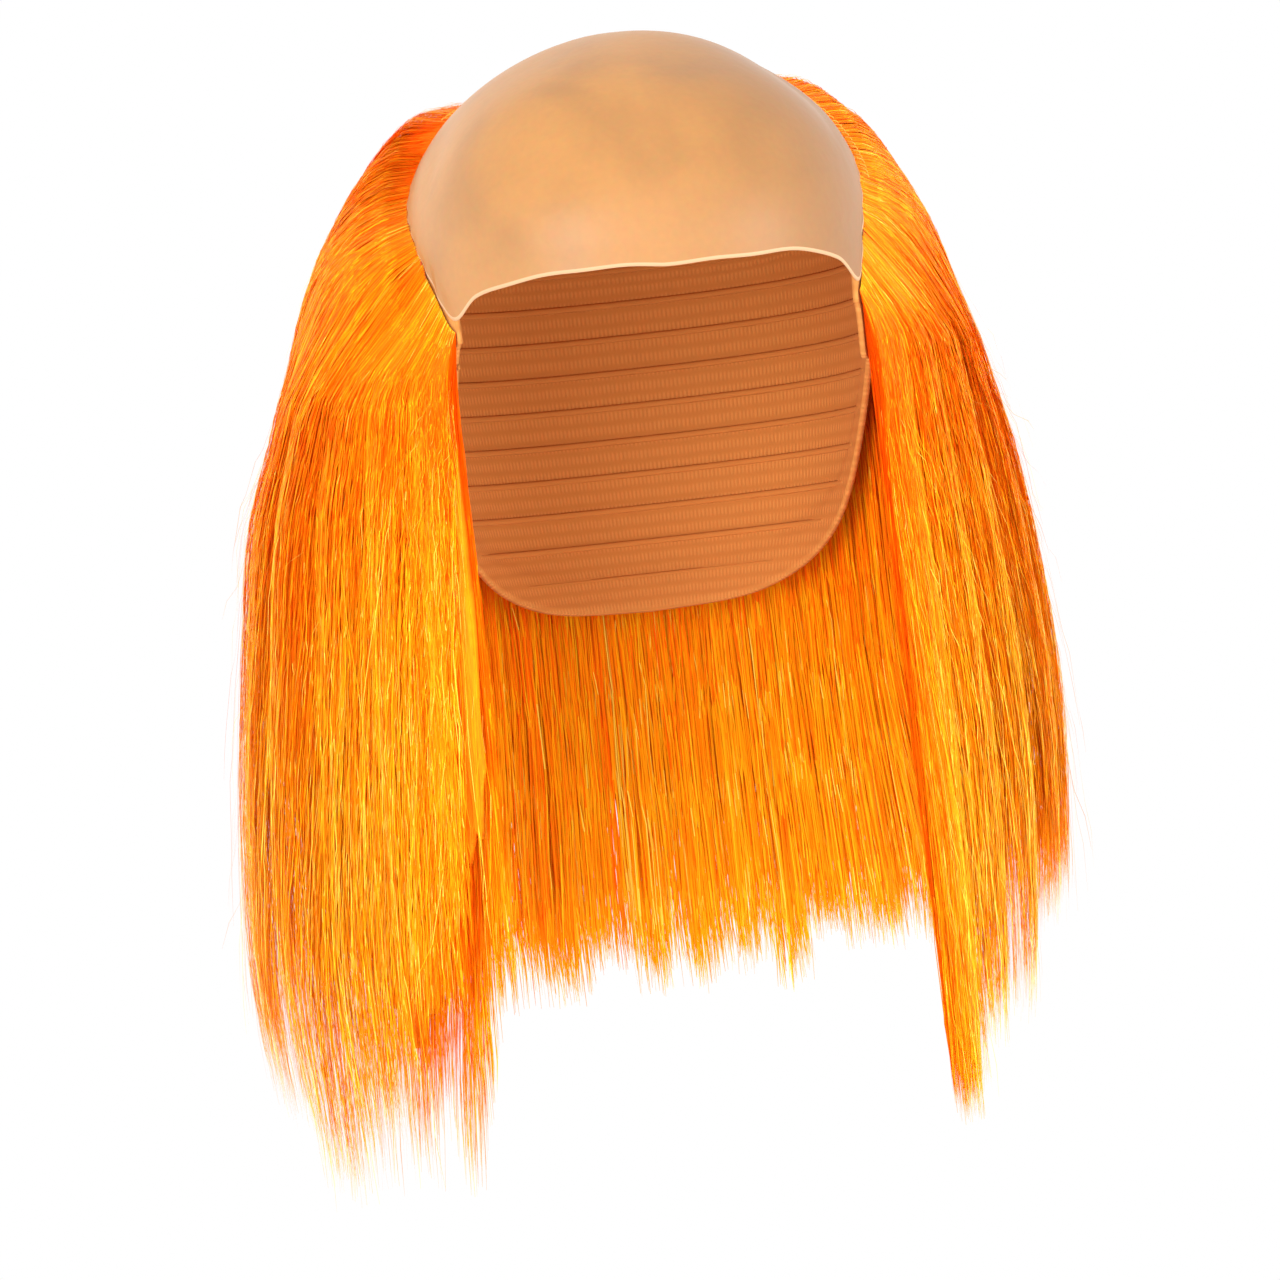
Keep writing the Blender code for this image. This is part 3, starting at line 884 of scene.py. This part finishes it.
def make_ribbons(name, path, width, tint, twist):
    """Each path becomes a ribbon with a pointed tip. Tint has a value for each stretch."""
    count, points = path.shape[:2]
    line = np.linspace(0, 1, points)
    tangent = unit(np.gradient(path, axis=1))
    side = unit(np.cross(tangent, outward_from_head(path)))
    facing = np.cross(side, tangent)
    lean = twist[:, None] + rng.normal(0, LEAN_SPREAD, (count, points))
    lean = np.clip(lean, -RIBBON_LEAN, RIBBON_LEAN)[..., None]
    across = np.cos(lean) * side + np.sin(lean) * facing
    taper = mix(1.0, TIP_WIDTH, smooth((line - 1 + TIP_SHARE) / TIP_SHARE))
    taper *= mix(ROOT_WIDTH, 1.0, smooth(line / ROOT_SHARE))
    half = 0.5 * width[:, None, None] * taper[None, :, None]
    corners = np.stack([path - half * across, path + half * across], axis=2)
    first = np.arange(count)[:, None] * 2 * points + np.arange(points - 1)[None] * 2
    quads = np.stack([first, first + 1, first + 3, first + 2], axis=-1).reshape(-1, 4)
    mesh = bpy.data.meshes.new(name)
    mesh.vertices.add(count * points * 2)
    mesh.vertices.foreach_set("co", corners.astype(np.float32).ravel())
    mesh.loops.add(quads.size)
    mesh.loops.foreach_set("vertex_index", quads.astype(np.int32).ravel())
    mesh.polygons.add(len(quads))
    mesh.polygons.foreach_set("loop_start", np.arange(0, quads.size, 4, dtype=np.int32))
    mesh.update(calc_edges=True)
    for finish in tints:
        mesh.materials.append(finish)
    mesh.polygons.foreach_set("material_index", tint.ravel())
    mesh.shade_smooth()
    piece = bpy.data.objects.new(name, mesh)
    scene.collection.objects.link(piece)
    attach(piece, "root")
    print(name, count, "strands,", 2 * len(quads), "triangles")
    return piece


# %% Grow strands in wisps
FIRST_ROOT = 0.012
CRIMP = 0.00033
# Strands in a wisp, and how far they spread in stations and in depth.
WISP, WISP_WIDTH, WISP_DEPTH = 6, 0.05, 0.03
THINNEST, THICKEST = 0.00024, 0.00050
# Tints deeper, all as painted shade: the roots against the tips, the front edge, and the deepest
# strands.
DEEPEN, EDGE_DEEPER, DEPTH_DEEPER = 4.3, 1.6, 1.3


def grow(name, strands, points, stations, depths, shares, bias, drift):
    """Strands in wisps, between two stations and two depths. Bias above 1 crowds the wisps
    towards the first station, and drift is how many stations they move back as they fall."""
    wisps = strands // WISP
    strands = wisps * WISP
    lead = mix(stations[0], stations[1], rng.random(wisps) ** bias)
    lead_depth = mix(depths[0], depths[1], rng.random(wisps))
    lead_drift = rng.normal(drift, 0.10, wisps)
    lead_wave, lead_phase = rng.uniform(0.005, 0.03, wisps), rng.random(wisps)
    lead_short = rng.gamma(1.2, 0.004, wisps)
    each = np.repeat(np.arange(wisps), WISP)
    station = lead[each] + rng.normal(0, WISP_WIDTH, strands)
    turn = np.sign(lead[each])
    station = turn * np.clip(turn * station, TEMPLE + 0.005, BACK - 0.001)
    depth = np.clip(lead_depth[each] + rng.normal(0, WISP_DEPTH, strands), 0.01, 1.0)
    start = np.clip((1 - depth) * 1.1 + rng.uniform(-0.05, 0.05, strands), FIRST_ROOT, 0.92)
    # Painted shade: deeper tints at the front edge and for the deepest strands.
    shift = -EDGE_DEEPER * (1 - smooth((np.abs(station) - 4.05) / 0.45))
    shift += DEPTH_DEEPER * (smooth((depth - depths[0]) / (depths[1] - depths[0])) - 0.6)
    end = strand_end(station) - lead_short[each] - rng.uniform(0, 0.010, strands)
    end -= rng.random(strands) ** 5 * 0.06
    path = lay_strands(points, station, depth, start, end,
                       lead_drift[each] + rng.normal(0, 0.04, strands),
                       lead_wave[each] + rng.normal(0, 0.006, strands),
                       lead_phase[each] + rng.normal(0, 0.08, strands),
                       rng.uniform(0.0, 0.35, wisps)[each], np.full(strands, CRIMP))
    width = rng.uniform(THINNEST, THICKEST, strands)
    tint = deal_tints(strands, points, shares, DEEPEN, shift)
    return make_ribbons(name, path, width, tint, rng.uniform(-0.3, 0.3, strands))


# Shares of the eight tints on the outside, in the thickness and on the inside of the hair.
# The thickness and the inside lean to deeper tints, a painted shade.
OUTER_SHARES = (0, 2, 11, 35, 36, 13, 3, 0)
FILL_SHARES = (2, 12, 30, 32, 18, 6, 0, 0)
INNER_SHARES = (4, 16, 30, 28, 15, 6, 1, 0)
GROUPS = [
    # name, strands, points, stations, depths, shares, bias, whether it drifts
    ("front", 2300, 40, (TEMPLE + 0.01, 8.2), (0.945, 1.0), OUTER_SHARES, 1.15, 1),
    ("back", 1750, 28, (7.9, BACK), (0.89, 1.0), OUTER_SHARES, 1.0, 0),
    ("fill", 2200, 18, (TEMPLE + 0.01, 10.5), (0.15, 0.94), FILL_SHARES, 1.6, 1),
    ("inside", 1800, 16, (TEMPLE + 0.01, BACK), (0.01, 0.14), INNER_SHARES, 1.0, 0),
]
for side, word, drift in ((-1, "right", 0.42), (1, "left", 0.05)):
    for group, strands, points, stations, depths, shares, bias, drifts in GROUPS:
        grow(f"hair_{word}_{group}", strands, points, side * np.array(stations), depths, shares,
             bias, drift * drifts)

# %% [markdown]
# ## The sewn seam
#
# Where the hair comes out from under the latex it is caught down by a row of small stitches of
# yellow-orange thread, less than three millimetres apart. Each is a short arch over the roots.
# They show higher up and at the back, where the roots lie flat. Nearer the temples the hair
# covers them. A row of dots in a pattern would be flat from the side, so they are modelled.

# %% Make the stitches as short arches
STITCH_PITCH = 0.0027
FIRST_STITCH = (9.2, 6.6)
STITCH_RADIUS, STITCH_RISE = 0.00028, 0.0007
STITCH_FROM, STITCH_TO = 0.0012, 0.0036
ARC_POINTS, THREAD_SIDES = 6, 5

thread, surface = start_finish("seam_thread", (1.0, 0.42, 0.02), 0.6)
twist = add_node(thread, "ShaderNodeTexNoise", Scale=1500.0, Detail=1.0)
thread_tone = colour_ramp(thread, twist.outputs["Fac"],
                          [(0.35, (1.0, 0.24, 0.008)), (0.65, (1.0, 0.52, 0.05))])
join(thread, thread_tone, surface.inputs["Base Color"])


def stitch_stations(side):
    steps = np.linspace(float(on_side(side, *FIRST_STITCH)), BACK, 2000)
    runs = seam_run(side * steps)
    places = np.arange(runs[0], runs[-1], STITCH_PITCH)
    return side * np.interp(places, runs, steps)


stitched = np.concatenate([stitch_stations(-1), stitch_stations(1)])
stitched += rng.normal(0, 0.008, len(stitched))
arc = np.linspace(0, 1, ARC_POINTS)[None]
from_seam = mix(STITCH_FROM, STITCH_TO, arc)
height = ROOT_THICKNESS * root_rise(from_seam) + STITCH_RISE * np.sin(math.pi * arc)
slant = rng.normal(0.012, 0.01, (len(stitched), 1)) * (arc - 0.5)
line = head_point(station_azimuth(stitched)[:, None] + slant,
                  seam_polar(stitched)[:, None] + head_angle(SEAM_GAP + from_seam),
                  height * np.ones((len(stitched), 1)))
stitches = make_tubes("seam_stitches", line, STITCH_RADIUS, STITCH_RADIUS, THREAD_SIDES, thread)
print("stitches:", len(stitched))

# %% [markdown]
# ## Loose hairs
#
# However well it is combed, a long straight wig has single hairs that stand away from the rest,
# most of all low down at the sides. They are thinner than the strands, leave the surface at a
# slight angle, and break up the outline.

# %% Let some thin hairs stray from the surface
LOOSE_HAIRS, LOOSE_POINTS = 1300, 18
LOOSE_REACH = 0.012
LOOSE_SHARES = (0, 1, 5, 14, 26, 26, 16, 12)


def stray(name, count, points, reach, shares):
    """Thin hairs that leave the surface part of the way down, by up to a reach."""
    side = rng.choice([-1.0, 1.0], count)
    station = side * (TEMPLE + 0.02 + 7.9 * rng.random(count) ** 1.5)
    end = strand_end(station) - rng.uniform(0, 0.19, count)
    path = lay_strands(points, station, rng.uniform(0.93, 1.0, count), np.zeros(count), end,
                       rng.normal(0, 0.22, count), rng.uniform(0.01, 0.05, count),
                       rng.random(count), np.zeros(count), np.full(count, 0.0003))
    line = np.linspace(0, 1, points)[None]
    leave = rng.uniform(0.25, 0.85, count)[:, None]
    away = reach * rng.uniform(0.15, 1.0, count)[:, None] ** 1.5
    away = away * smooth((line - leave) / (1 - leave))
    path = path + away[..., None] * outward_from_head(path)
    return make_ribbons(name, path, rng.uniform(0.00012, 0.00022, count),
                        deal_tints(count, points, shares, 0.0), rng.uniform(-0.5, 0.5, count))


stray("hair_loose", LOOSE_HAIRS, LOOSE_POINTS, LOOSE_REACH, LOOSE_SHARES)

# %% [markdown]
# ## Camera
#
# The photograph is taken level with the middle of the wig, from a little to its own right, and
# the wig leans to one side in it. Here the wig stays upright and the camera is tilted instead.

# %% Place the camera
CAMERA_TURN, CAMERA_ROLL = math.radians(-5.0), math.radians(6.3)
CAMERA_DISTANCE, CAMERA_SIDEWAYS, CAMERA_HEIGHT = 1.8, -0.012, -0.199

camera_data = bpy.data.cameras.new("camera")
camera_data.lens, camera_data.sensor_width = 153.0, 36.0
camera_data.clip_start, camera_data.clip_end = 0.05, 20.0
camera = bpy.data.objects.new("camera", camera_data)
scene.collection.objects.link(camera)
right = Vector((math.cos(CAMERA_TURN), math.sin(CAMERA_TURN), 0))
back = Vector((math.sin(CAMERA_TURN), -math.cos(CAMERA_TURN), 0))
basis = Matrix((right, Vector((0, 0, 1)), back)).transposed()
camera.matrix_world = (basis @ Matrix.Rotation(-CAMERA_ROLL, 3, "Z")).to_4x4()
camera.location = back * CAMERA_DISTANCE + right * CAMERA_SIDEWAYS + Vector((0, 0, CAMERA_HEIGHT))
scene.camera = camera
print("camera at", [round(value, 3) for value in camera.location])

# %% [markdown]
# ## Light and floor
#
# The light is soft and mostly from the front, brightest from the left, against pure white. One
# lamp would leave the strands dark between, so the whole sky gives light too, brighter than the
# plain white that the camera sees. It may bounce six times, which keeps the gaps orange. The
# pale floor lies below the tips and gives light back upwards.

# %% Hang two soft lamps
LAMPS = [
    # name, place, watts
    ("key_light", (-0.95, -1.75, 0.05), 19.0),
    ("fill_light", (1.45, -1.3, -0.30), 14.0),
]
LAMP_SIZE = 1.2
LAMP_AIM = (0.0, 0.0, -0.17)

for name, place, watts in LAMPS:
    lamp = bpy.data.lights.new(name, "AREA")
    lamp.energy, lamp.shape, lamp.size = watts, "DISK", LAMP_SIZE
    light = bpy.data.objects.new(name, lamp)
    light.location = place
    light.rotation_mode = "QUATERNION"
    light.rotation_quaternion = (Vector(place) - Vector(LAMP_AIM)).to_track_quat("Z", "Y")
    scene.collection.objects.link(light)
print("lights:", [light.name for light in bpy.data.lights])

# %% Light the sky, brighter low down, and show the camera plain white
SKY = ((0.10, 1.0), (0.85, 0.58))
SKY_STRENGTH = 1.70
DIFFUSE_BOUNCES = 6

world = bpy.data.worlds.new("studio")
scene.world = world
world.use_nodes = True
nodes, links = world.node_tree.nodes, world.node_tree.links
nodes.clear()
seen, given = nodes.new("ShaderNodeBackground"), nodes.new("ShaderNodeBackground")
seen.inputs["Strength"].default_value = 1.0
seen.inputs["Color"].default_value = (1, 1, 1, 1)
given.inputs["Strength"].default_value = SKY_STRENGTH
sky_place, sky_level = nodes.new("ShaderNodeTexCoord"), nodes.new("ShaderNodeSeparateXYZ")
sky_tone = nodes.new("ShaderNodeValToRGB")
for element, (height, grey) in zip(sky_tone.color_ramp.elements, SKY):
    element.position, element.color = height, (grey, grey, grey, 1)
links.new(sky_place.outputs["Generated"], sky_level.inputs["Vector"])
links.new(sky_level.outputs["Z"], sky_tone.inputs["Fac"])
links.new(sky_tone.outputs["Color"], given.inputs["Color"])
rays, sky = nodes.new("ShaderNodeLightPath"), nodes.new("ShaderNodeMixShader")
output = nodes.new("ShaderNodeOutputWorld")
links.new(rays.outputs["Is Camera Ray"], sky.inputs["Fac"])
links.new(given.outputs["Background"], sky.inputs[1])
links.new(seen.outputs["Background"], sky.inputs[2])
links.new(sky.outputs["Shader"], output.inputs["Surface"])
scene.view_settings.view_transform = "Standard"
scene.view_settings.look = "None"
scene.cycles.diffuse_bounces = DIFFUSE_BOUNCES
print("sky's strength:", SKY_STRENGTH)

# %% Lay the floor
FLOOR_LEVEL, FLOOR_RADIUS, FLOOR_SIDES = -0.56, 0.32, 96

turns = np.linspace(0, 2 * math.pi, FLOOR_SIDES, endpoint=False)
disc = np.stack([FLOOR_RADIUS * np.cos(turns), FLOOR_RADIUS * np.sin(turns),
                 np.full(FLOOR_SIDES, FLOOR_LEVEL)], axis=1)
pale, _ = start_finish("floor", (0.93, 0.93, 0.93), 0.8)
floor_mesh = bpy.data.meshes.new("floor")
floor_mesh.from_pydata(disc.tolist(), [], [tuple(range(FLOOR_SIDES))])
floor_mesh.materials.append(pale)
floor = bpy.data.objects.new("floor", floor_mesh)
scene.collection.objects.link(floor)
floor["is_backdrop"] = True
print("floor", round(1000 * (solid_low.z - FLOOR_LEVEL)), "mm below the tips")

# %% [markdown]
# ## Measure and finish
#
# Soft hair may stand a few millimetres out of the solids, but the wig must be no bigger than
# that. So the script prints how far the dressed wig stands past the solids at each end. The
# triangles are counted too, because more strands would look no better and be slow to open.

# %% Count the triangles
pieces = [piece for piece in bpy.data.objects if piece.type == "MESH" and piece.data.materials
          and not piece.hide_render and piece != floor]
triangles = {piece.name: len(piece.data.loops) - 2 * len(piece.data.polygons) for piece in pieces}
print("triangles in all:", sum(triangles.values()))
print("most in one piece:", max(triangles.values()))

# %% Print how far the wig stands past the solids, and finish
dressed_low, dressed_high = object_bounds()
for end, past in (("low", solid_low - dressed_low), ("high", dressed_high - solid_high)):
    print("past the solids at the", end, "end in mm:", [round(1000 * value, 1) for value in past])
